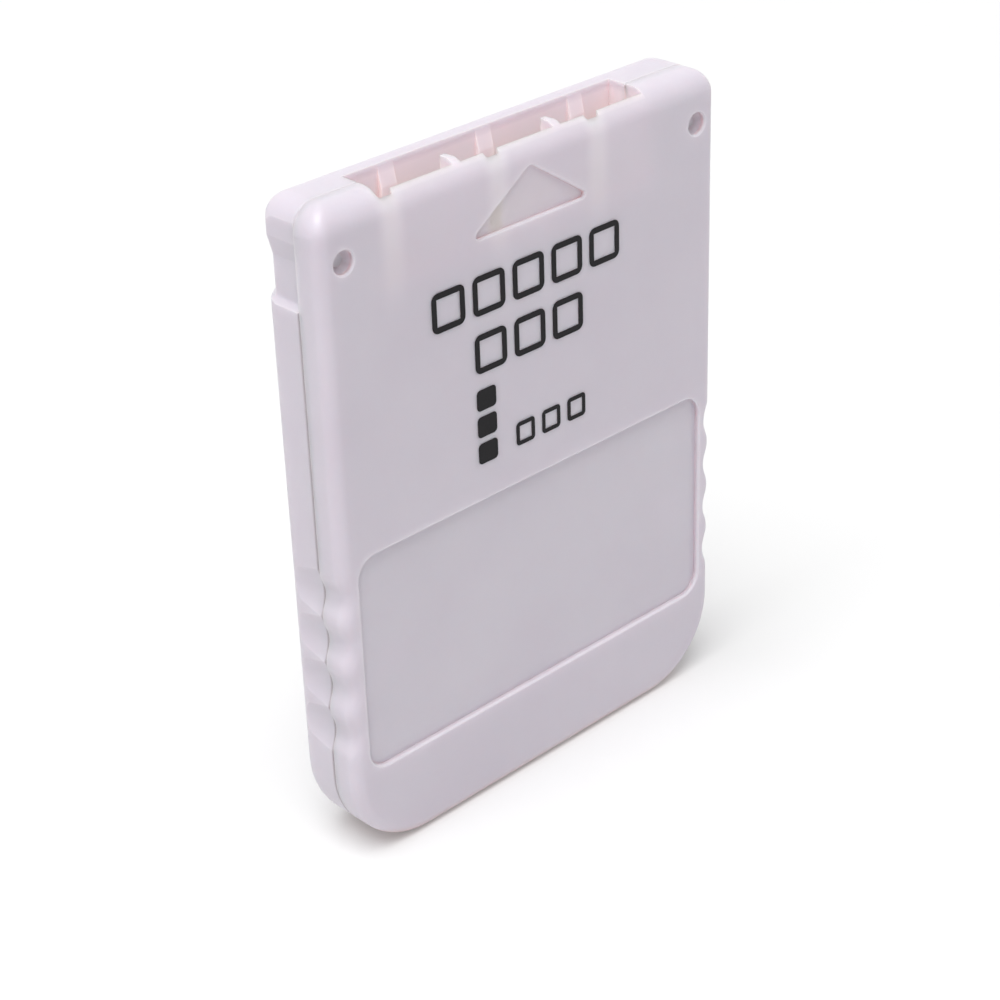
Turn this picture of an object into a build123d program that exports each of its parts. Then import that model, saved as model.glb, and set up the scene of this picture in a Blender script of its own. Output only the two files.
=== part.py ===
from build123d import *
from math import atan2, degrees
import os

# Console memory card: two moulded shells closed round a circuit board.
# X runs across the card, Y from its front to its rear and Z up from the edge that it stands on.
# Y = 0 lies half-way through its depth. All sizes are in millimetres.

# Case
card_width = 41.0
card_height = 55.0
card_depth = 7.0
top_corner_radius = 2.1
bottom_corner_radius = 7.4
front_edge_round = 1.0
front_top_round = 2.0
rear_edge_round = 2.1
parting_y = -0.95
front_wall = 1.2
rear_wall = 1.8
side_wall = 1.6
inner_corner_radius = 0.3
parting_chamfer = 0.2
rib_root = 0.4

# Lip of the front shell, which enters a rebate in the rear shell
lip_thickness = 0.55
lip_height = 0.8
lip_clearance = 0.05

# Connector mouth in the top edge
mouth_width = 27.2
mouth_shift = -0.8
mouth_depth = 7.5
mouth_front_wall = 0.85
mouth_rear_wall = 2.7
mouth_cheek = 1.2
mouth_floor = 1.0

# Channels in the mouth's front wall: the first one lies at the left end
channel_count = 3
channel_pitch = 10.4
channel_width = 1.4
channel_depth = 0.35
channel_corner = 0.25

# Keys that stand on the mouth's front wall and part the contacts into groups
key_spacing = 10.2
key_row_shift = -1.5
key_root_width = 0.9
key_tip_width = 0.5
key_reach = 1.45
key_drop = 0.1

# Rails on the mouth's rear wall, which carry the board's tongue
rail_count = 3
rail_pitch = 9.65
rail_row_shift = 0.8
rail_width = 1.5
rail_height = 0.35
rail_drop = 0.2
rail_lead_in = 1.6

# Latch notch in each side of the rear shell, measured down from the top
notch_depth = 0.47
notch_lead_in = 0.15
notch_ramp_start = 2.9
notch_floor_start = 4.4
notch_floor_end = 7.5
notch_end = 8.0
notch_round = 0.3
notch_swing = 45.0

# Grip on each side: a wavy edge on the front shell, scallops that run out on the rear shell
grip_count = 4
grip_pitch = 4.08
grip_first_height = 11.85
grip_depth = 0.45

# Recesses in the front face
label_width = 37.7
label_height = 18.9
label_base_height = 8.2
label_depth = 0.45
label_corner = 1.8
arrow_width = 12.6
arrow_height = 4.3
arrow_from_top = 2.15
arrow_depth = 0.35
arrow_tip_round = 0.8
arrow_foot_round = 0.3
dimple_diameter = 1.8
dimple_depth = 0.8
dimple_floor_bevel = 0.4
dimple_from_side = 2.25
dimple_from_top = 4.15
recess_edge_bevel = 0.12

# Pegs of the front shell, which pass through the board into sockets of the rear shell
peg_diameter = 1.6
peg_boss_side = 3.2
peg_from_side = 3.3
peg_from_board_base = 3.6
peg_hole_clearance = 0.2
peg_end_gap = 0.3
socket_clearance = 0.03
socket_depth = 1.6

# Circuit board
board_thickness = 1.0
board_side_clearance = 0.3
board_top_from_rim = 3.4
board_base_height = 13.5
board_shoulder_clearance = 0.4
board_corner = 1.0
board_face_clearance = 0.1

# Contact fingers on the board's tongue, in groups that stand between the keys and the mouth's ends
contact_width = 1.6
contact_length = 3.6
contact_thickness = 0.15
contact_corner_bevel = 0.3
contact_from_board_top = 0.4
contact_pitch = 2.6
contact_group_counts = (2, 3, 3)

# Chips and small parts on the board's front face
lead_thickness = 0.15
lead_foot = 0.6
lead_reach = 1.4
chip_standoff = 0.1
memory_length = 15.4
memory_width = 7.5
memory_height = 1.3
memory_lead_pitch = 1.27
memory_leads_per_side = 12
memory_lead_width = 0.42
controller_side = 7.0
controller_height = 1.2
controller_lead_pitch = 1.27
controller_leads_per_side = 5
controller_lead_width = 0.42
controller_x = -5.5
chip_edge_chamfer = 0.12
chip_corner_bevel = 1.0
resonator_length = 5.0
resonator_width = 3.2
resonator_height = 1.2
resonator_corner_bevel = 0.6
resonator_flange = 0.3
resonator_flange_height = 0.3
resonator_top_bevel = 0.2
resonator_x = 5.5
small_part_length = 2.0
small_part_width = 1.25
small_part_cap = 0.4
small_part_cap_proud = 0.05
capacitor_height = 0.9
capacitor_count = 4
capacitor_pitch = 3.2
capacitor_x = 2.4
resistor_height = 0.5
resistor_count = 4
resistor_pitch = 3.4

# Places worked out from the sizes above
half_width = card_width / 2
half_depth = card_depth / 2
front_inner_y = -half_depth + front_wall
rear_inner_y = half_depth - rear_wall
cavity_half_width = half_width - side_wall
mouth_left = mouth_shift - mouth_width / 2
mouth_right = mouth_shift + mouth_width / 2
mouth_outer_left = mouth_left - mouth_cheek
mouth_outer_right = mouth_right + mouth_cheek
mouth_base = card_height - mouth_depth
mouth_front_y = -half_depth + mouth_front_wall
mouth_rear_y = half_depth - mouth_rear_wall
board_rear_y = mouth_rear_y - rail_height
board_front_y = board_rear_y - board_thickness
board_top = card_height - board_top_from_rim
board_shoulder = mouth_base - board_shoulder_clearance
board_clear_y = board_front_y - board_face_clearance
board_half_width = cavity_half_width - board_side_clearance
memory_span = memory_width + 2 * lead_reach
controller_span = controller_side + 2 * lead_reach
row_spans = (memory_span, controller_span, small_part_length)
row_gap = (board_shoulder - board_base_height - sum(row_spans)) / (len(row_spans) + 1)
memory_z = board_base_height + row_gap + memory_span / 2
controller_z = memory_z + memory_span / 2 + row_gap + controller_span / 2
resonator_z = controller_z + (controller_span - resonator_width) / 2
capacitor_z = controller_z - (controller_span - small_part_length) / 2
resistor_z = board_shoulder - row_gap - small_part_length / 2
peg_x = cavity_half_width - peg_from_side
peg_z = board_base_height + peg_from_board_base
lip_inset = side_wall - lip_thickness
rib_top = card_height - lip_inset / 2
key_places = (key_row_shift - key_spacing / 2, key_row_shift + key_spacing / 2)
grip_heights = [grip_first_height + i * grip_pitch for i in range(grip_count)]
overcut = 1.0


def slab(outline, front_y, rear_y):
    """A front-view outline, X across and Z up, given depth from front_y back to rear_y."""
    return extrude(Plane.XZ.offset(-rear_y) * outline, amount=rear_y - front_y)


def block(x_low, x_high, y_low, y_high, z_low, z_high):
    """A block between six planes."""
    corner = Location((x_low, y_low, z_low))
    low = (Align.MIN, Align.MIN, Align.MIN)
    return corner * Box(x_high - x_low, y_high - y_low, z_high - z_low, align=low)


def row_places(count, pitch, middle=0.0):
    """The places of an even row about its middle."""
    return [middle + (i - (count - 1) / 2) * pitch for i in range(count)]


def card_outline(inset=0.0, wavy=False):
    """The card seen from the front, drawn in from its edge by inset, with the grip's wave if wavy."""
    side = half_width - inset
    top = card_height - inset
    top_radius = max(top_corner_radius - inset, inner_corner_radius)
    base_radius = max(bottom_corner_radius - inset, inner_corner_radius)
    upper_corner = TangentArc((side - top_radius, top), (side, top - top_radius), tangent=(1, 0))
    lower_corner = TangentArc((side, inset + base_radius), (side - base_radius, inset), tangent=(0, -1))
    edges = [Line((0, top), upper_corner @ 0), upper_corner]
    if wavy:
        wave = grip_wave(side)
        edges += [Line(upper_corner @ 1, wave[0] @ 0), *wave, Line(wave[-1] @ 1, lower_corner @ 0)]
    else:
        edges += [Line(upper_corner @ 1, lower_corner @ 0)]
    edges += [lower_corner, Line(lower_corner @ 1, (0, inset))]
    right = Curve() + edges
    return make_face(right + mirror(right, about=Plane.YZ))


def grip_wave(side):
    """The wavy edge from the top down: tangent arcs that swing between crests and valleys."""
    middle = side - grip_depth / 2
    quarter = grip_pitch / 4
    start = (side, grip_heights[-1] + 2 * quarter)
    arcs = [TangentArc(start, (middle, grip_heights[-1] + quarter), tangent=(0, -1))]
    for valley in reversed(grip_heights):
        last = valley == grip_heights[0]
        crest_end = (side, valley - 2 * quarter) if last else (middle, valley - 3 * quarter)
        arcs.append(TangentArc(arcs[-1] @ 1, (middle, valley - quarter), tangent=arcs[-1] % 1))
        arcs.append(TangentArc(arcs[-1] @ 1, crest_end, tangent=arcs[-1] % 1))
    return arcs


def both_sides(solid):
    """A solid on the right of the card with its mirror image on the left."""
    return [solid, mirror(solid, about=Plane.YZ)]


def pegs_at(solid):
    """A solid modelled about the Y axis, repeated at the two peg places."""
    return [Location((x, 0, peg_z)) * solid for x in (-peg_x, peg_x)]


def rod(diameter, front_y, rear_y):
    """A round rod along Y on the axis."""
    return slab(Circle(diameter / 2), front_y, rear_y)


def peg_boss(front_y, rear_y):
    """A square boss along Y on the axis, on which the board rests or from which a peg stands."""
    half = peg_boss_side / 2
    return block(-half, half, front_y, rear_y, -half, half)


def mouth_cheeks(front_y, rear_y):
    """The wall at each end of the mouth, from the mouth's base up into the top wall."""
    ends = ((mouth_outer_left, mouth_left), (mouth_right, mouth_outer_right))
    return [block(low, high, front_y, rear_y, mouth_base, rib_top) for low, high in ends]


def mouth_cut(front_y, rear_y):
    """The opening through the top wall."""
    return block(mouth_left, mouth_right, front_y, rear_y, mouth_base, card_height + overcut)


def channel_cuts():
    """Upright channels in the mouth's front wall, rounded at their floor."""
    bottom = Location((0, mouth_front_y, mouth_base))
    profile = Rectangle(channel_width, channel_depth + overcut, align=(Align.CENTER, Align.MIN))
    profile = Pos(0, -channel_depth) * profile
    profile = fillet(profile.vertices().sort_by(Axis.Y)[:2], channel_corner)
    cutter = bottom * extrude(profile, amount=mouth_depth + overcut)
    first_x = mouth_left + channel_width / 2
    return [Location((first_x + i * channel_pitch, 0, 0)) * cutter for i in range(channel_count)]


def mouth_keys():
    """Two tapered keys that stand out from the mouth's front wall, trimmed to the case's round edge."""
    root_y = mouth_front_y - rib_root
    tip_y = mouth_front_y + key_reach
    plan = Polygon(
        (-key_root_width / 2, root_y),
        (key_root_width / 2, root_y),
        (key_tip_width / 2, tip_y),
        (-key_tip_width / 2, tip_y),
        align=None,
    )
    key = extrude(Plane.XY.offset(mouth_base) * plan, amount=mouth_depth - key_drop)
    return [Location((x, 0, 0)) * (key & front_profile()) for x in key_places]


def mouth_base_wall():
    """The wall that closes the mouth below, from the front wall back to the board."""
    root_y = front_inner_y - rib_root
    low_z = mouth_base - mouth_floor
    return block(mouth_outer_left, mouth_outer_right, root_y, board_clear_y, low_z, mouth_base)


def label_recess():
    """The shallow rounded window that takes a label."""
    window = RectangleRounded(label_width, label_height, label_corner)
    window = Pos(0, label_base_height + label_height / 2) * window
    return slab(window, -half_depth - overcut, -half_depth + label_depth)


def arrow_recess():
    """The rounded arrowhead that points to the end that goes in first."""
    tip = card_height - arrow_from_top
    foot = tip - arrow_height
    outline = Polygon((-arrow_width / 2, foot), (arrow_width / 2, foot), (0, tip), align=None)
    outline = fillet(outline.vertices().sort_by(Axis.Y)[-1:], arrow_tip_round)
    outline = fillet(outline.vertices().sort_by(Axis.Y)[:2], arrow_foot_round)
    return slab(outline, -half_depth - overcut, -half_depth + arrow_depth)


def dimple_recesses():
    """The two round dimples by the top corners, with a bevelled floor."""
    dimple = rod(dimple_diameter, -half_depth - overcut, -half_depth + dimple_depth)
    dimple = chamfer(dimple.edges().sort_by(Axis.Y)[-1], dimple_floor_bevel)
    return both_sides(Location((half_width - dimple_from_side, 0, card_height - dimple_from_top)) * dimple)


def front_profile():
    """The front half's side view, soft along its top edge, drawn out across the card."""
    low = (Align.MIN, Align.MIN)
    side_view = Pos(-half_depth, 0) * Rectangle(half_depth + parting_y, card_height, align=low)
    top_front = side_view.vertices().sort_by(Axis.X)[:2].sort_by(Axis.Y)[-1]
    side_view = fillet(top_front, front_top_round)
    return extrude(Plane.YZ * side_view, amount=card_width, both=True)


def front_block():
    """The front half as a solid block, with its wavy grip and rounds along the edges of its face."""
    body = slab(card_outline(wavy=True), -half_depth, parting_y) & front_profile()
    face_edges = body.faces().sort_by(Axis.Y)[0].edges()
    return fillet(face_edges.sort_by(Axis.Z)[:-1], front_edge_round)


def make_front_shell():
    """Front half of the case, with its lip, pegs, mouth keys and recesses."""
    body = front_block()
    body -= slab(card_outline(side_wall), front_inner_y, parting_y + overcut)
    lip_ring = card_outline(lip_inset) - card_outline(side_wall)
    lip = slab(lip_ring, parting_y - rib_root, parting_y + lip_height)
    body += lip - block(mouth_outer_left, mouth_outer_right, -half_depth, half_depth, mouth_base, card_height)
    body += mouth_cheeks(front_inner_y - rib_root, parting_y)
    body -= mouth_cut(mouth_front_y, parting_y + overcut)
    body -= channel_cuts()
    body += [*mouth_keys(), mouth_base_wall()]
    boss = peg_boss(front_inner_y - rib_root, board_clear_y)
    peg = rod(peg_diameter, front_inner_y, board_rear_y + socket_depth - peg_end_gap)
    body += pegs_at(boss + peg)
    body -= [label_recess(), arrow_recess(), *dimple_recesses()]
    rims = [edge for wire in body.faces().sort_by(Axis.Y)[0].inner_wires() for edge in wire.edges()]
    return chamfer(rims, recess_edge_bevel)


def notch_cuts():
    """Latch notch on each side, cut flat and then swung to follow the round rear edge."""
    outside = half_width + overcut
    lead = half_width - notch_lead_in
    floor = half_width - notch_depth
    outline = Polygon(
        (outside, card_height + overcut),
        (lead, card_height + overcut),
        (lead, card_height - notch_ramp_start),
        (floor, card_height - notch_floor_start),
        (floor, card_height - notch_floor_end),
        (half_width, card_height - notch_end),
        (outside, card_height - notch_end),
        align=None,
    )
    bends = [v for v in outline.vertices() if v.X < half_width and v.Y < card_height]
    outline = fillet(bends, notch_round)
    flat = slab(outline, parting_y - overcut, half_depth + overcut)
    round_middle = Location((half_width - rear_edge_round, half_depth - rear_edge_round, 0))
    swung = round_middle * Rotation(0, 0, notch_swing) * round_middle.inverse() * flat
    return both_sides(flat) + both_sides(swung)


def scallop_cuts():
    """Round scallops that are deepest at the parting line and run out at the rear edge."""
    half_pitch = grip_pitch / 2
    radius = (half_pitch ** 2 + grip_depth ** 2) / (2 * grip_depth)
    run_out = degrees(atan2(grip_depth, half_depth - parting_y))
    bar = Rotation(90, 0, 0) * Cylinder(radius, 4 * card_depth)
    bar = Rotation(0, 0, -run_out) * bar
    cuts = []
    for height in grip_heights:
        cuts += both_sides(Location((half_width - grip_depth + radius, parting_y, height)) * bar)
    return cuts


def board_rails():
    """Rails on the mouth's rear wall, sloped at the top to lead in what is plugged in."""
    rail_top = card_height - rail_drop
    side_view = Polygon(
        (mouth_rear_y + rib_root, mouth_base),
        (board_rear_y, mouth_base),
        (board_rear_y, rail_top - rail_lead_in),
        (mouth_rear_y, rail_top),
        (mouth_rear_y + rib_root, rail_top),
        align=None,
    )
    rail = extrude(Plane.YZ.offset(-rail_width / 2) * side_view, amount=rail_width)
    return [Location((x, 0, 0)) * rail for x in row_places(rail_count, rail_pitch, rail_row_shift)]


def make_rear_shell():
    """Rear half of the case, with its rebate, sockets, board rails, notches and scallops."""
    body = slab(card_outline(), parting_y, half_depth)
    body = fillet(body.faces().sort_by(Axis.Y)[-1].edges(), rear_edge_round)
    body -= scallop_cuts()
    body = chamfer(body.faces().sort_by(Axis.Y)[0].edges(), parting_chamfer)
    body -= notch_cuts()
    cut_front_y = parting_y - overcut
    body -= slab(card_outline(side_wall), cut_front_y, rear_inner_y)
    body -= slab(card_outline(lip_inset - lip_clearance), cut_front_y, parting_y + lip_height + lip_clearance)
    rib_rear_y = rear_inner_y + rib_root
    body += mouth_cheeks(parting_y, rib_rear_y)
    body += block(mouth_left, mouth_right, mouth_rear_y, rib_rear_y, mouth_base, rib_top)
    body -= mouth_cut(cut_front_y, mouth_rear_y)
    body += board_rails()
    body += pegs_at(peg_boss(board_rear_y, rib_rear_y))
    return body - pegs_at(rod(peg_diameter + 2 * socket_clearance, cut_front_y, board_rear_y + socket_depth))


def make_circuit_board():
    """T-shaped board: a tongue in the mouth above, two peg holes near the foot of the wide part."""
    wide_height = board_shoulder - board_base_height
    wide = RectangleRounded(2 * board_half_width, wide_height, board_corner)
    wide = Pos(0, board_base_height + wide_height / 2) * wide
    tongue_height = board_top - board_shoulder + board_corner
    tongue = Rectangle(mouth_width - 2 * board_side_clearance, tongue_height)
    tongue = Pos(mouth_shift, board_top - tongue_height / 2) * tongue
    board = slab(wide + tongue, board_front_y, board_rear_y)
    hole = rod(peg_diameter + 2 * peg_hole_clearance, board_front_y - overcut, board_rear_y + overcut)
    return board - pegs_at(hole)


def contact_places():
    """X of each contact finger, group by group."""
    walls = (mouth_left, *key_places, mouth_right)
    places = []
    for left, right, count in zip(walls, walls[1:], contact_group_counts):
        places += row_places(count, contact_pitch, (left + right) / 2)
    return places


def on_board(part, x, height):
    """A part modelled on the XY plane, laid on the board's front face."""
    face = Plane(origin=(0, board_front_y, 0), x_dir=(1, 0, 0), z_dir=(0, -1, 0))
    return face * Location((x, height, 0)) * part


def make_contact(x):
    """One flat contact finger with bevelled corners."""
    plan = Rectangle(contact_width, contact_length)
    plan = chamfer(plan.vertices(), contact_corner_bevel)
    finger = extrude(plan, amount=contact_thickness)
    return on_board(finger, x, board_top - contact_from_board_top - contact_length / 2)


def lead_row(body_half, body_height, pitch, count, width):
    """A row of bent leads along X that leave the body at its +Y side and stand on the board."""
    exit_height = chip_standoff + body_height / 2
    path = Polyline(
        (body_half - lead_reach / 2, exit_height),
        (body_half + lead_reach - lead_foot, exit_height),
        (body_half + lead_reach - lead_foot, lead_thickness / 2),
        (body_half + lead_reach, lead_thickness / 2),
    )
    side_view = Plane.YZ * trace(path, lead_thickness)
    lead = Location((-width / 2, 0, 0)) * extrude(side_view, amount=width)
    return [Location((x, 0, 0)) * lead for x in row_places(count, pitch)]


def make_leaded_chip(length, width, height, pitch, count, lead_width, lead_sides):
    """A moulded package with a bevel at pin one and rows of leads on the sides named by their turn."""
    plan = Rectangle(length, width)
    pin_one = plan.vertices().sort_by(Axis.Y)[:2].sort_by(Axis.X)[0]
    plan = chamfer(pin_one, chip_corner_bevel)
    body = Location((0, 0, chip_standoff)) * extrude(plan, amount=height)
    body = chamfer(body.faces().sort_by(Axis.Z)[-1].edges(), chip_edge_chamfer)
    for turn in lead_sides:
        half = width / 2 if turn % 180 == 0 else length / 2
        row = lead_row(half, height, pitch, count, lead_width)
        body += [Rotation(0, 0, turn) * lead for lead in row]
    return body


def make_memory_chip():
    """Long memory package with leads above and below."""
    chip = make_leaded_chip(
        memory_length, memory_width, memory_height,
        memory_lead_pitch, memory_leads_per_side, memory_lead_width, (0, 180),
    )
    return on_board(chip, 0, memory_z)


def make_controller_chip():
    """Square controller package with leads on all four sides."""
    chip = make_leaded_chip(
        controller_side, controller_side, controller_height,
        controller_lead_pitch, controller_leads_per_side, controller_lead_width, (0, 90, 180, 270),
    )
    return on_board(chip, controller_x, controller_z)


def make_resonator():
    """Clock resonator: a drawn can with bevelled corners and a rim on the board."""
    rim = Rectangle(resonator_length, resonator_width)
    rim = chamfer(rim.vertices(), resonator_corner_bevel)
    can = extrude(offset(rim, -resonator_flange), amount=resonator_height)
    can = chamfer(can.faces().sort_by(Axis.Z)[-1].edges(), resonator_top_bevel)
    body = extrude(rim, amount=resonator_flange_height) + can
    return on_board(body, resonator_x, resonator_z)


def make_small_part(height, x, z):
    """A chip capacitor or resistor: a body between two slightly larger end caps."""
    proud = small_part_cap_proud
    on_base = (Align.CENTER, Align.CENTER, Align.MIN)
    body = Box(small_part_length, small_part_width - 2 * proud, height - proud, align=on_base)
    cap = Box(small_part_cap, small_part_width, height, align=on_base)
    cap_x = (small_part_length - small_part_cap) / 2
    body += [Location((side * cap_x, 0, 0)) * cap for side in (-1, 1)]
    return on_board(Rotation(0, 0, 90) * body, x, z)


parts = {
    "front_shell": make_front_shell(),
    "rear_shell": make_rear_shell(),
    "circuit_board": make_circuit_board(),
    "memory_chip": make_memory_chip(),
    "controller_chip": make_controller_chip(),
    "resonator": make_resonator(),
}
for number, x in enumerate(contact_places(), 1):
    parts[f"contact_{number}"] = make_contact(x)
capacitor_middle = capacitor_x + (capacitor_count - 1) / 2 * capacitor_pitch
for number, x in enumerate(row_places(capacitor_count, capacitor_pitch, capacitor_middle), 1):
    parts[f"capacitor_{number}"] = make_small_part(capacitor_height, x, capacitor_z)
for number, x in enumerate(row_places(resistor_count, resistor_pitch), 1):
    parts[f"resistor_{number}"] = make_small_part(resistor_height, x, resistor_z)

os.makedirs("parts", exist_ok=True)
for name, part in parts.items():
    part.label = name
    export_step(part, f"parts/{name}.step")
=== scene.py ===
# %% [markdown]
# # A console memory card
# The card is a flat case of pale moulded plastic with a circuit board inside. It stands on its lower edge, and the
# end with the connector mouth is up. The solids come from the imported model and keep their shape: this lesson gives
# each of them the finish of the real material, prints the front face, and sets the card in a bright studio.

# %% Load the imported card
import bpy
from math import pi, radians
from mathutils import Matrix, Vector


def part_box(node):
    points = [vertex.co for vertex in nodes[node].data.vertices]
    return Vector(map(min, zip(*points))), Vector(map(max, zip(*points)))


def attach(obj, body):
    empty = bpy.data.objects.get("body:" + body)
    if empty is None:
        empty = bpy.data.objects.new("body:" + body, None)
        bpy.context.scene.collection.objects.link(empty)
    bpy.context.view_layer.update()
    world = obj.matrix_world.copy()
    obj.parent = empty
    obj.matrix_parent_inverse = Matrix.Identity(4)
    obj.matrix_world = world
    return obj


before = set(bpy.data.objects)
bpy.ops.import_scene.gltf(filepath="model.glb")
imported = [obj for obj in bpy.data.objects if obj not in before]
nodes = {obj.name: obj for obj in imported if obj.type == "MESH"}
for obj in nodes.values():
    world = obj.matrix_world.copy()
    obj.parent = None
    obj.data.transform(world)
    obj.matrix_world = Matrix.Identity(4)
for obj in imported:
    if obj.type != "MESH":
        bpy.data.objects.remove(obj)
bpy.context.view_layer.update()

# %% [markdown]
# Sizes are written in millimetres, as a maker would read them off a drawing, and turned to metres where they are
# used. Places are taken from the frame, so a finish stays in step with the solid that wears it.

# %% Measures
MM = 0.001
front_low, front_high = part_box("front_shell")
card_top = front_high.z
front_face = front_low.y
print("front face at y =", round(front_face / MM, 2), "mm, top at z =", round(card_top / MM, 2), "mm")

# %% [markdown]
# Every finish below is a small tree of shader nodes. Two helpers are enough for all of them: one reads a colour the
# way a paint chart gives it, and one adds a node with its settings and its links. A link is given by handing over
# the output socket that feeds the input, and a plain number or colour is set on the input itself.


# %% Helpers for finishes
def linear(code):
    """A hex colour as a paint chart gives it, turned to the linear values that Blender mixes."""
    shares = [int(code[i:i + 2], 16) / 255 for i in (1, 3, 5)]
    return (*(s / 12.92 if s <= 0.04045 else ((s + 0.055) / 1.055) ** 2.4 for s in shares), 1.0)


def add(tree, kind, inputs=None, **settings):
    """Adds a node to a tree, with its settings, and fills its inputs from sockets or plain values."""
    node = tree.nodes.new(kind)
    for name, value in settings.items():
        setattr(node, name, value)
    for socket, value in (inputs or {}).items():
        for source in value if isinstance(value, list) else [value]:
            if isinstance(source, bpy.types.NodeSocket):
                tree.links.new(source, node.inputs[socket])
            else:
                node.inputs[socket].default_value = source
    return node


def new_finish(name, ior=None, metallic=0.0):
    """An empty finish: its tree, its surface shader and the object coordinates that its patterns follow."""
    finish = bpy.data.materials.new(name)
    finish.use_nodes = True
    tree = finish.node_tree
    shader = tree.nodes["Principled BSDF"]
    shader.inputs["Metallic"].default_value = metallic
    if ior:
        shader.inputs["IOR"].default_value = ior
    place = add(tree, "ShaderNodeTexCoord").outputs["Object"]
    return finish, tree, shader, place


def dress(names, finish):
    """Gives a finish to the named solids of the card."""
    for name in names:
        nodes[name].data.materials.clear()
        nodes[name].data.materials.append(finish)
    print(finish.name, "on", ", ".join(names))


# %% [markdown]
# The case is ABS, injection moulded in a pale lilac white. The mould was spark eroded and then lightly polished, so
# the skin is satin: a soft sheen over a fine grain, with slow clouds in the colour where the resin flowed. Corners
# that hands rub are a little paler. The resin lets some light through: the mouth's thin walls fill it
# with a warm pale light, and where the front wall is thinnest, behind the channels, it shows pale upright stripes.
# Scattering strong enough for this would be slow and grainy, so a little of it is kept and the rest is painted light,
# drawn by place: inside the mouth's block a faint painted glow stands for the light that seeps in, and the distance
# to the nearest channel gives a painted stripe's width. Corners that see little sky get painted shade in a warmer
# pink, the tint of light that went through the resin. On the rear shell painted shade darkens the groove along the
# parting line as a thin dark thread, which the distance to that line draws.

# %% The case plastic
abs_shade = linear("#D1C9D4")
abs_light = linear("#DAD4DD")
abs_rubbed = linear("#E6DFE6")
abs_painted_shade = linear("#DDC1C0")
seep_painted_glow = linear("#F8E2E0")
groove_painted_shade = linear("#85747C")
thin_wall_painted_light = linear("#EFE8F0")
flow_cloud = 9 * MM
grain_size = 0.30 * MM   # real grain is about 0.05 mm; drawn coarser so that it shows
grain_height = 0.004 * MM
rub_width = 0.30 * MM
painted_shade_reach = 4.0 * MM
painted_glow_level = 0.27
painted_glow_start = 0.8 * MM
mouth_middle = -0.8 * MM
mouth_half = 13.65 * MM
mouth_base = card_top - 7.6 * MM
mouth_front = -2.6 * MM
mouth_rear = 0.83 * MM
rim_width = 0.45 * MM
parting_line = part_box("rear_shell")[0].y
groove_width = 0.3 * MM
groove_top = card_top - 8.0 * MM
channel_first = -13.7 * MM
channel_pitch = 10.4 * MM
channel_last = channel_first + 2 * channel_pitch
stripe_core = 0.3 * MM
stripe_edge = 1.6 * MM
stripe_length = 12 * MM
stripe_strength = 0.45
rub_strength = 0.6
painted_shade_strength = 0.9


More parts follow.
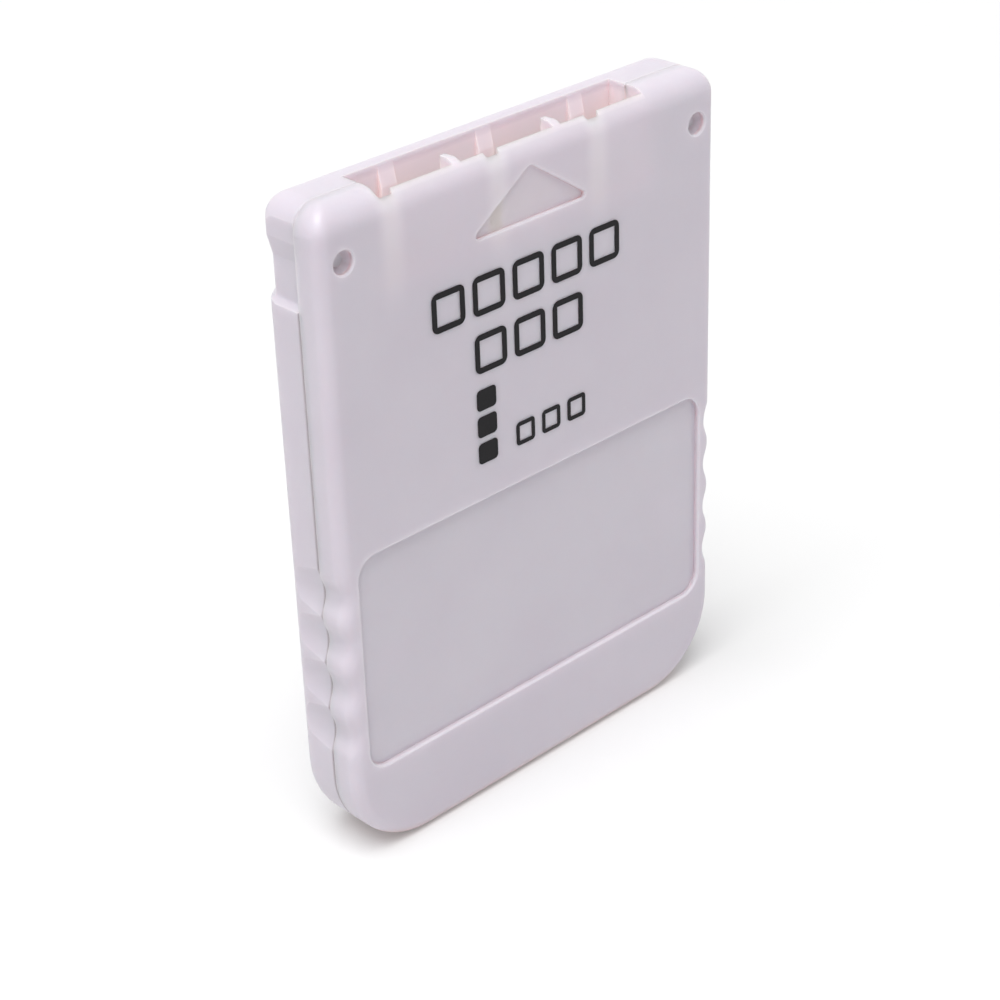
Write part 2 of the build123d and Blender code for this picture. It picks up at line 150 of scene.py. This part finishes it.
def moulded_abs(name, thin_walls):
    """Satin moulded plastic: painted light as pale stripes on the front shell's thin walls, painted shade in a groove
    on the rear shell.
    """
    finish, tree, shader, place = new_finish(name, ior=1.54)
    flow = add(tree, "ShaderNodeTexNoise", {"Vector": place, "Scale": 1 / flow_cloud, "Detail": 3.0})
    grain = add(tree, "ShaderNodeTexNoise", {"Vector": place, "Scale": 1 / grain_size, "Detail": 2.0})
    colour = add(tree, "ShaderNodeMix", {0: flow.outputs["Fac"], 6: abs_shade, 7: abs_light}, data_type="RGBA")
    axes = add(tree, "ShaderNodeSeparateXYZ", {0: place})
    if thin_walls:
        # Painted light: pale upright stripes behind the channels, where light comes through the thin front wall,
        # fading downward.
        near = add(tree, "ShaderNodeMath", {0: axes.outputs["X"], 1: channel_first + channel_pitch / 2,
                                            2: channel_first - channel_pitch / 2}, operation="WRAP")
        aside = add(tree, "ShaderNodeMath", {0: near.outputs[0], 1: channel_first}, operation="SUBTRACT")
        off = add(tree, "ShaderNodeMath", {0: aside.outputs[0]}, operation="ABSOLUTE")
        stripe = add(tree, "ShaderNodeMapRange", {"Value": off.outputs[0], "From Min": stripe_core,
                                                  "From Max": stripe_edge, "To Min": stripe_strength,
                                                  "To Max": 0.0},
                     interpolation_type="SMOOTHSTEP")
        fade = add(tree, "ShaderNodeMapRange", {"Value": axes.outputs["Z"], "From Min": card_top - stripe_length,
                                                "From Max": card_top}, interpolation_type="SMOOTHSTEP")
        end = add(tree, "ShaderNodeMapRange", {"Value": axes.outputs["X"], "From Min": channel_last + stripe_edge,
                                               "From Max": channel_last + 2 * stripe_edge,
                                               "To Min": 1.0, "To Max": 0.0})
        faded = add(tree, "ShaderNodeMath", {0: stripe.outputs[0], 1: fade.outputs[0]}, operation="MULTIPLY")
        lit = add(tree, "ShaderNodeMath", {0: faded.outputs[0], 1: end.outputs[0]}, operation="MULTIPLY")
        colour = add(tree, "ShaderNodeMix", {0: lit.outputs[0], 6: colour.outputs[2], 7: thin_wall_painted_light}, data_type="RGBA")
    soft = add(tree, "ShaderNodeBevel", {"Radius": rub_width}, samples=6)
    true = add(tree, "ShaderNodeNewGeometry")
    turn = add(tree, "ShaderNodeVectorMath", {0: soft.outputs[0], 1: true.outputs["Normal"]}, operation="DOT_PRODUCT")
    rub = add(tree, "ShaderNodeMapRange", {"Value": turn.outputs["Value"], "From Min": 0.85, "From Max": 0.995,
                                           "To Min": rub_strength, "To Max": 0.0})
    rubbed = add(tree, "ShaderNodeMix", {0: rub.outputs[0], 6: colour.outputs[2], 7: abs_rubbed}, data_type="RGBA")
    # Painted shade: where the ambient occlusion finds little open sky, the colour turns a darker, warmer pink.
    open_sky = add(tree, "ShaderNodeAmbientOcclusion", {"Distance": painted_shade_reach}, samples=8)
    painted_shade_mask = add(tree, "ShaderNodeMapRange", {"Value": open_sky.outputs["AO"], "From Min": 0.15, "From Max": 0.6,
                                              "To Min": painted_shade_strength, "To Max": 0.0})
    shaded_colour = add(tree, "ShaderNodeMix", {0: painted_shade_mask.outputs[0], 6: rubbed.outputs[2], 7: abs_painted_shade}, data_type="RGBA")
    # Painted light: the mouth's block glows faintly, fading out toward the rim, for the light that seeps in through
    # the resin.
    glow = add(tree, "ShaderNodeMapRange", {"Value": axes.outputs["Z"], "From Min": card_top - painted_glow_start,
                                            "From Max": card_top, "To Min": painted_glow_level, "To Max": 0.0})
    limits = [
        add(tree, "ShaderNodeMath", {0: axes.outputs["X"], 1: mouth_middle, 2: mouth_half}, operation="COMPARE"),
        add(tree, "ShaderNodeMapRange", {"Value": axes.outputs["Y"], "From Min": mouth_front - rim_width,
                                         "From Max": mouth_front}),
        add(tree, "ShaderNodeMath", {0: axes.outputs["Y"], 1: mouth_rear}, operation="LESS_THAN"),
        add(tree, "ShaderNodeMath", {0: axes.outputs["Z"], 1: mouth_base}, operation="GREATER_THAN"),
    ]
    for limit in limits:
        glow = add(tree, "ShaderNodeMath", {0: glow.outputs[0], 1: limit.outputs[0]}, operation="MULTIPLY")
    if not thin_walls:
        # Painted shade: a thin dark line in the groove along the parting line, below the top, on the rear shell.
        groove = add(tree, "ShaderNodeMapRange", {"Value": axes.outputs["Y"], "From Min": parting_line,
                                                  "From Max": parting_line + groove_width,
                                                  "To Min": 1.0, "To Max": 0.0})
        below = add(tree, "ShaderNodeMath", {0: axes.outputs["Z"], 1: groove_top}, operation="LESS_THAN")
        groove_shade_mask = add(tree, "ShaderNodeMath", {0: groove.outputs[0], 1: below.outputs[0]}, operation="MULTIPLY")
        shaded_colour = add(tree, "ShaderNodeMix", {0: groove_shade_mask.outputs[0], 6: shaded_colour.outputs[2], 7: groove_painted_shade},
                   data_type="RGBA")
    sheen = add(tree, "ShaderNodeMapRange", {"Value": grain.outputs["Fac"], "From Min": 0.3, "From Max": 0.7,
                                             "To Min": 0.36, "To Max": 0.48})
    skin = add(tree, "ShaderNodeBump", {"Height": grain.outputs["Fac"], "Distance": grain_height, "Strength": 1.0})
    tree.links.new(shaded_colour.outputs[2], shader.inputs["Base Color"])
    tree.links.new(glow.outputs[0], shader.inputs["Emission Strength"])
    shader.inputs["Emission Color"].default_value = seep_painted_glow
    tree.links.new(sheen.outputs[0], shader.inputs["Roughness"])
    tree.links.new(skin.outputs[0], shader.inputs["Normal"])
    shader.inputs["Subsurface Weight"].default_value = 1.0
    shader.inputs["Subsurface Radius"].default_value = (1.0, 0.86, 0.86)
    shader.inputs["Subsurface Scale"].default_value = 1.5 * MM
    return finish


dress(["front_shell"], moulded_abs("abs_front", thin_walls=True))
dress(["rear_shell"], moulded_abs("abs_rear", thin_walls=False))

# %% [markdown]
# The board is glass cloth and epoxy under a green solder mask. The cloth's weave shows faintly through the mask, and
# copper tracks under it stand up a little and look brighter. Only its tongue can be seen, down in the mouth. A weave
# could be a brick pattern, but two crossed waves are simpler and have the soft swell of real cloth.

# %% The board's solder mask
mask_green = linear("#11502C")
track_green = linear("#2A7A46")
weave_pitch = 0.55 * MM
weave_height = 0.01 * MM
track_pitch = 1.3 * MM
track_half = 0.28 * MM
laminate, tree, shader, place = new_finish("solder_mask", ior=1.5)
warp = add(tree, "ShaderNodeTexWave", {"Vector": place, "Scale": pi / (10 * weave_pitch)}, bands_direction="X")
weft = add(tree, "ShaderNodeTexWave", {"Vector": place, "Scale": pi / (10 * weave_pitch)}, bands_direction="Z")
cloth = add(tree, "ShaderNodeMath", {0: warp.outputs["Fac"], 1: weft.outputs["Fac"]}, operation="MULTIPLY")
axes = add(tree, "ShaderNodeSeparateXYZ", {0: place})
lane = add(tree, "ShaderNodeMath", {0: axes.outputs["X"], 1: track_pitch}, operation="PINGPONG")
copper = add(tree, "ShaderNodeMapRange", {"Value": lane.outputs[0], "From Min": track_half,
                                          "From Max": 1.3 * track_half, "To Min": 1.0, "To Max": 0.0})
mask = add(tree, "ShaderNodeMix", {0: copper.outputs[0], 6: mask_green, 7: track_green}, data_type="RGBA")
swell = add(tree, "ShaderNodeMath", {0: cloth.outputs[0], 1: copper.outputs[0]}, operation="ADD")
relief = add(tree, "ShaderNodeBump", {"Height": swell.outputs[0], "Distance": weave_height})
gloss = add(tree, "ShaderNodeMapRange", {"Value": cloth.outputs[0], "To Min": 0.28, "To Max": 0.4})
tree.links.new(mask.outputs[2], shader.inputs["Base Color"])
tree.links.new(gloss.outputs[0], shader.inputs["Roughness"])
tree.links.new(relief.outputs[0], shader.inputs["Normal"])
dress(["circuit_board"], laminate)

# %% [markdown]
# The contact fingers are copper with a flash of gold. Each time the card goes in, the console's springs wipe along
# them, so their scratches all run up and down. A noise stretched along the fingers draws those scratches.

# %% Gold on the contacts
gold_bright = linear("#E2BE67")
gold_worn = linear("#C79A4B")
scratch_width = 0.06 * MM
scratch_length = 1.8 * MM
gold, tree, shader, place = new_finish("gold_plate", metallic=1.0)
along = add(tree, "ShaderNodeMapping", {"Vector": place,
                                        "Scale": (1 / scratch_width, 1 / scratch_width, 1 / scratch_length)})
wipe = add(tree, "ShaderNodeTexNoise", {"Vector": along.outputs[0], "Scale": 1.0, "Detail": 3.0})
tint = add(tree, "ShaderNodeMix", {0: wipe.outputs["Fac"], 6: gold_bright, 7: gold_worn}, data_type="RGBA")
polish = add(tree, "ShaderNodeMapRange", {"Value": wipe.outputs["Fac"], "To Min": 0.18, "To Max": 0.42})
scored = add(tree, "ShaderNodeBump", {"Height": wipe.outputs["Fac"], "Distance": 0.003 * MM})
tree.links.new(tint.outputs[2], shader.inputs["Base Color"])
tree.links.new(polish.outputs[0], shader.inputs["Roughness"])
tree.links.new(scored.outputs[0], shader.inputs["Normal"])
contacts = sorted(name for name in nodes if name.startswith("contact_"))
dress(contacts, gold)

# %% [markdown]
# The chips, capacitors and resistors all have a dark or tan body with tinned metal at its ends: leads on the chips and
# caps on the small parts. One finish serves them all. It measures how far a point lies outside the body's own block,
# and shows tin there and the body's material inside.

# %% Bodies with tinned ends
tin_bright = linear("#C9C9C4")
body_grain = 0.12 * MM


def tinned_part(name, body_code, roughness, tin_x, tin_z):
    """A finish for one part: body material in its middle, tin on tin_x and tin_z millimetres of its ends."""
    low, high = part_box(name)
    centre = (low + high) / 2
    half = (high - low) / 2
    finish, tree, shader, place = new_finish(name + "_finish", ior=1.5)
    local = add(tree, "ShaderNodeVectorMath", {0: place, 1: centre}, operation="SUBTRACT")
    axes = add(tree, "ShaderNodeSeparateXYZ", {0: local.outputs[0]})
    beyond = []
    for axis, reach in (("X", half.x - tin_x * MM), ("Z", half.z - tin_z * MM)):
        size = add(tree, "ShaderNodeMath", {0: axes.outputs[axis]}, operation="ABSOLUTE")
        past = add(tree, "ShaderNodeMath", {0: size.outputs[0], 1: reach + 0.01 * MM}, operation="GREATER_THAN")
        beyond.append(past.outputs[0])
    tin = add(tree, "ShaderNodeMath", {0: beyond[0], 1: beyond[1]}, operation="MAXIMUM")
    grain = add(tree, "ShaderNodeTexNoise", {"Vector": place, "Scale": 1 / body_grain, "Detail": 2.0})
    tone = linear(body_code)
    dark = (*(0.7 * c for c in tone[:3]), 1.0)
    body = add(tree, "ShaderNodeMix", {0: grain.outputs["Fac"], 6: dark, 7: tone}, data_type="RGBA")
    colour = add(tree, "ShaderNodeMix", {0: tin.outputs[0], 6: body.outputs[2], 7: tin_bright}, data_type="RGBA")
    rough = add(tree, "ShaderNodeMapRange", {"Value": tin.outputs[0], "To Min": roughness, "To Max": 0.3})
    pitted = add(tree, "ShaderNodeBump", {"Height": grain.outputs["Fac"], "Distance": 0.004 * MM})
    tree.links.new(colour.outputs[2], shader.inputs["Base Color"])
    tree.links.new(tin.outputs[0], shader.inputs["Metallic"])
    tree.links.new(rough.outputs[0], shader.inputs["Roughness"])
    tree.links.new(pitted.outputs[0], shader.inputs["Normal"])
    dress([name], finish)


lead_reach = 1.4
cap_length = 0.4
tinned_part("memory_chip", "#2A2A2C", 0.55, 0, lead_reach)
tinned_part("controller_chip", "#2A2A2C", 0.55, lead_reach, lead_reach)
for name in sorted(nodes):
    if name.startswith("capacitor_"):
        tinned_part(name, "#B08D63", 0.5, 0, cap_length)
    if name.startswith("resistor_"):
        tinned_part(name, "#1C1C20", 0.2, 0, cap_length)

# %% [markdown]
# The resonator sits in a can drawn from thin nickel silver. Drawing leaves faint streaks, so a noise stretched along
# the can's length changes its roughness.

# %% The resonator's can
can, tree, shader, place = new_finish("drawn_can", metallic=1.0)
streak = add(tree, "ShaderNodeMapping", {"Vector": place, "Scale": (1 / (2 * MM), 1 / (0.08 * MM), 1 / (0.08 * MM))})
drawn = add(tree, "ShaderNodeTexNoise", {"Vector": streak.outputs[0], "Scale": 1.0, "Detail": 2.0})
tint = add(tree, "ShaderNodeMix", {0: drawn.outputs["Fac"], 6: linear("#B9B8B2"), 7: linear("#CFCEC8")},
           data_type="RGBA")
satin = add(tree, "ShaderNodeMapRange", {"Value": drawn.outputs["Fac"], "To Min": 0.22, "To Max": 0.42})
tree.links.new(tint.outputs[2], shader.inputs["Base Color"])
tree.links.new(satin.outputs[0], shader.inputs["Roughness"])
dress(["resonator"], can)

# %% [markdown]
# The front face carries a plain print in black ink: three rows of blank boxes, ready for lettering, and a gauge of
# three blocks for the card's store. Pad-printed ink lies on the plastic as a thin film with round corners and a
# slightly uneven black. The shapes repeat, so Geometry Nodes make them: a grid of points, one rounded block or box on
# each, made real and turned to lie on the front face.

# %% The ink
ink, tree, shader, place = new_finish("pad_print_ink", ior=1.48)
pores = add(tree, "ShaderNodeTexNoise", {"Vector": place, "Scale": 1 / (0.25 * MM), "Detail": 3.0})
black = add(tree, "ShaderNodeMix", {0: pores.outputs["Fac"], 6: linear("#131214"), 7: linear("#242225")},
            data_type="RGBA")
dull = add(tree, "ShaderNodeMapRange", {"Value": pores.outputs["Fac"], "To Min": 0.4, "To Max": 0.6})
uneven = add(tree, "ShaderNodeBump", {"Height": pores.outputs["Fac"], "Distance": 0.003 * MM})
tree.links.new(black.outputs[2], shader.inputs["Base Color"])
tree.links.new(dull.outputs[0], shader.inputs["Roughness"])
tree.links.new(uneven.outputs[0], shader.inputs["Normal"])
shader.inputs["Specular IOR Level"].default_value = 0.15
print("ink:", ink.name)


# %% The tree that lays out printed blocks
def block_grid():
    """Geometry nodes for a grid of rounded blocks, or of hollow boxes, that lies on the front face."""
    tree = bpy.data.node_groups.new("printed_block_grid", "GeometryNodeTree")
    kinds = {"Columns": "Int", "Rows": "Int", "Block Width": "Float", "Block Height": "Float", "Gap": "Float",
             "Hollow": "Bool", "Stroke": "Float", "Corner": "Float", "Film": "Float", "Middle": "Vector",
             "Ink": "Material"}
    for label, kind in kinds.items():
        tree.interface.new_socket(label, in_out="INPUT", socket_type="NodeSocket" + kind)
    tree.interface.new_socket("Print", in_out="OUTPUT", socket_type="NodeSocketGeometry")
    given = add(tree, "NodeGroupInput").outputs
    spans = []
    for count, size in (("Columns", "Block Width"), ("Rows", "Block Height")):
        pitch = add(tree, "ShaderNodeMath", {0: given[size], 1: given["Gap"]}, operation="ADD")
        gaps = add(tree, "ShaderNodeMath", {0: given[count], 1: 1.0}, operation="SUBTRACT")
        spans.append(add(tree, "ShaderNodeMath", {0: pitch.outputs[0], 1: gaps.outputs[0]}, operation="MULTIPLY"))
    points = add(tree, "GeometryNodeMeshGrid", {"Size X": spans[0].outputs[0], "Size Y": spans[1].outputs[0],
                                                "Vertices X": given["Columns"], "Vertices Y": given["Rows"]})
    edge = add(tree, "GeometryNodeCurvePrimitiveQuadrilateral", {"Width": given["Block Width"],
                                                                 "Height": given["Block Height"]})
    outer = add(tree, "GeometryNodeFilletCurve", {"Curve": edge.outputs[0], "Radius": given["Corner"], "Count": 5},
                mode="POLY")
    twice = add(tree, "ShaderNodeMath", {0: given["Stroke"], 1: 2.0}, operation="MULTIPLY")
    clear_width = add(tree, "ShaderNodeMath", {0: given["Block Width"], 1: twice.outputs[0]}, operation="SUBTRACT")
    clear_height = add(tree, "ShaderNodeMath", {0: given["Block Height"], 1: twice.outputs[0]}, operation="SUBTRACT")
    window = add(tree, "GeometryNodeCurvePrimitiveQuadrilateral", {"Width": clear_width.outputs[0],
                                                                   "Height": clear_height.outputs[0]})
    frame_lines = add(tree, "GeometryNodeJoinGeometry", {0: [outer.outputs[0], window.outputs[0]]})
    shape = add(tree, "GeometryNodeSwitch", {"Switch": given["Hollow"], "False": outer.outputs[0],
                                             "True": frame_lines.outputs[0]}, input_type="GEOMETRY")
    face = add(tree, "GeometryNodeFillCurve", {"Curve": shape.outputs[0]}, mode="TRIANGLES")
    under = add(tree, "GeometryNodeFlipFaces", {"Mesh": face.outputs[0]})
    over = add(tree, "GeometryNodeExtrudeMesh", {"Mesh": face.outputs[0], "Offset Scale": given["Film"],
                                                 "Individual": False})
    both = add(tree, "GeometryNodeJoinGeometry", {0: [under.outputs[0], over.outputs[0]]})
    closed = add(tree, "GeometryNodeMergeByDistance", {"Geometry": both.outputs[0], "Distance": 0.001 * MM})
    placed = add(tree, "GeometryNodeInstanceOnPoints", {"Points": points.outputs[0], "Instance": closed.outputs[0]})
    real = add(tree, "GeometryNodeRealizeInstances", {0: placed.outputs[0]})
    upright = add(tree, "GeometryNodeTransform", {"Geometry": real.outputs[0], "Translation": given["Middle"],
                                                  "Rotation": (radians(90), 0.0, 0.0)})
    inked = add(tree, "GeometryNodeSetMaterial", {"Geometry": upright.outputs[0], "Material": given["Ink"]})
    add(tree, "NodeGroupOutput", {0: inked.outputs[0]})
    return tree


print_tree = block_grid()
print("print tree nodes:", len(print_tree.nodes))

# %% Print the blocks
film_sunk = 0.02 * MM
film_proud = 0.02 * MM


def printed(name, **sizes):
    """A printed piece from the block grid, turned into a plain mesh that rides on the card."""
    piece = bpy.data.objects.new(name, bpy.data.meshes.new(name))
    bpy.context.scene.collection.objects.link(piece)
    layout = piece.modifiers.new("layout", "NODES")
    layout.node_group = print_tree
    for item in print_tree.interface.items_tree:
        if item.in_out == "INPUT":
            layout[item.identifier] = sizes[item.name.lower().replace(" ", "_")]
    seen = piece.evaluated_get(bpy.context.evaluated_depsgraph_get())
    piece.data = bpy.data.meshes.new_from_object(seen)
    piece.modifiers.remove(layout)
    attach(piece, "root")
    print(name, "faces:", len(piece.data.polygons))
    return piece


film_base = front_face + film_sunk
film = film_sunk + film_proud
# Each row: name, columns, rows, width, height, gap, hollow, stroke, corner, middle x and middle z, in millimetres.
print_rows = [
    ("print_boxes_top", 5, 1, 3.3, 3.2, 0.8, True, 0.5, 0.6, -0.55, 44.15),
    ("print_boxes_middle", 3, 1, 3.3, 3.2, 0.8, True, 0.5, 0.6, -0.55, 39.45),
    ("print_gauge", 1, 3, 2.0, 1.75, 0.5, False, 0.3, 0.35, -5.3, 33.4),
    ("print_boxes_low", 3, 1, 2.0, 2.0, 0.8, True, 0.36, 0.35, 1.5, 31.35),
]
for name, columns, rows, width, height, gap, hollow, stroke, corner, x, z in print_rows:
    printed(name, columns=columns, rows=rows, block_width=width * MM, block_height=height * MM, gap=gap * MM,
            hollow=hollow, stroke=stroke * MM, corner=corner * MM, film=film, middle=(x * MM, film_base, z * MM),
            ink=ink)

# %% [markdown]
# The card stands on a plain white floor. Seen by the camera, the floor adds a little light of its own, so it reads as
# white paper and still keeps the soft shadow at the card's foot. Far from the card, where the lamp doesn't reach, it
# adds more, and so it runs into the white backdrop without an edge. The same light is there for rays that come off a
# shiny surface, so that metal mirrors the same white.



# %% Floor and backdrop
def viewed_rays(tree):
    """A node that is 1 for rays from the camera or off a shiny surface, and 0 for the rest."""
    rays = add(tree, "ShaderNodeLightPath").outputs
    shiny = add(tree, "ShaderNodeMath", {0: rays["Is Glossy Ray"], 1: rays["Is Transmission Ray"]},
                operation="MAXIMUM")
    return add(tree, "ShaderNodeMath", {0: rays["Is Camera Ray"], 1: shiny.outputs[0]}, operation="MAXIMUM")


floor_size = 4.0
floor_glow = 0.15
far_glow = 0.85
lift_start = 0.2
lift_end = 1.2
floor_mesh = bpy.data.meshes.new("studio_floor")
corners = [(-1, -1), (1, -1), (1, 1), (-1, 1)]
floor_mesh.from_pydata([(x * floor_size, y * floor_size, 0) for x, y in corners], [], [(0, 1, 2, 3)])
floor = bpy.data.objects.new("studio_floor", floor_mesh)
bpy.context.scene.collection.objects.link(floor)
paper, tree, shader, place = new_finish("white_paper")
shader.inputs["Base Color"].default_value = linear("#DCDCDC")
shader.inputs["Roughness"].default_value = 0.9
viewed = viewed_rays(tree)
away = add(tree, "ShaderNodeVectorMath", {0: place}, operation="LENGTH")
lift = add(tree, "ShaderNodeMapRange", {"Value": away.outputs["Value"], "From Min": lift_start, "From Max": lift_end,
                                        "To Min": floor_glow, "To Max": far_glow})
glow = add(tree, "ShaderNodeMath", {0: viewed.outputs[0], 1: lift.outputs[0]}, operation="MULTIPLY")
shader.inputs["Emission Color"].default_value = (1, 1, 1, 1)
tree.links.new(glow.outputs[0], shader.inputs["Emission Strength"])
floor.data.materials.append(paper)

world = bpy.data.worlds.new("studio")
bpy.context.scene.world = world
world.use_nodes = True
tree = world.node_tree
ambient = 0.46
viewed = viewed_rays(tree)
level = add(tree, "ShaderNodeMapRange", {"Value": viewed.outputs[0], "To Min": ambient, "To Max": 1.0})
tree.links.new(level.outputs[0], tree.nodes["Background"].inputs["Strength"])
tree.nodes["Background"].inputs["Color"].default_value = (1, 1, 1, 1)
print("floor", floor_size, "m, ambient light", ambient)

# %% [markdown]
# One large lamp hangs above and to the left of the card, as a studio's softbox does. It makes the top edge the
# brightest face, the left side the next and the front the calmest, and its size keeps the shadow soft. The world's
# even light fills the rest.

# %% Softbox
lamp_distance = 2.0
lamp_side = 1.4
lamp_level = 0.98
card_middle = Vector((0, 0, card_top / 2))
to_lamp = Vector((-0.30, -0.13, 0.94)).normalized()
softbox = bpy.data.lights.new("softbox", "AREA")
softbox.size = lamp_side
softbox.energy = lamp_level * pi ** 2 * lamp_distance ** 2
lamp = bpy.data.objects.new("softbox", softbox)
lamp.location = card_middle + to_lamp * lamp_distance
lamp.rotation_euler = to_lamp.to_track_quat("Z", "Y").to_euler()
bpy.context.scene.collection.objects.link(lamp)
print("softbox:", round(softbox.energy, 2), "W")

# %% [markdown]
# The camera stands to the left of the card and above it, with a portrait lens that keeps the upright edges nearly
# parallel. Its eye, its aim and a small roll were fitted to the edges of the card in the reference view.

# %% Camera
eye = Vector((-114.96, -121.34, 116.21)) * MM
aim = Vector((-0.99, 0.0, 23.79)) * MM
roll = -2.02
view = bpy.data.cameras.new("portrait_lens")
view.lens = 85.97
view.sensor_width = 36.0
view.clip_start = 0.001
camera = bpy.data.objects.new("camera", view)
bpy.context.scene.collection.objects.link(camera)
looking = (aim - eye).to_track_quat("-Z", "Y").to_matrix() @ Matrix.Rotation(radians(roll), 3, "Z")
camera.matrix_world = Matrix.Translation(eye) @ looking.to_4x4()
bpy.context.scene.camera = camera
bpy.context.scene.view_settings.view_transform = "Standard"
print("lens", view.lens, "mm at", round((aim - eye).length / MM, 1), "mm from its aim")
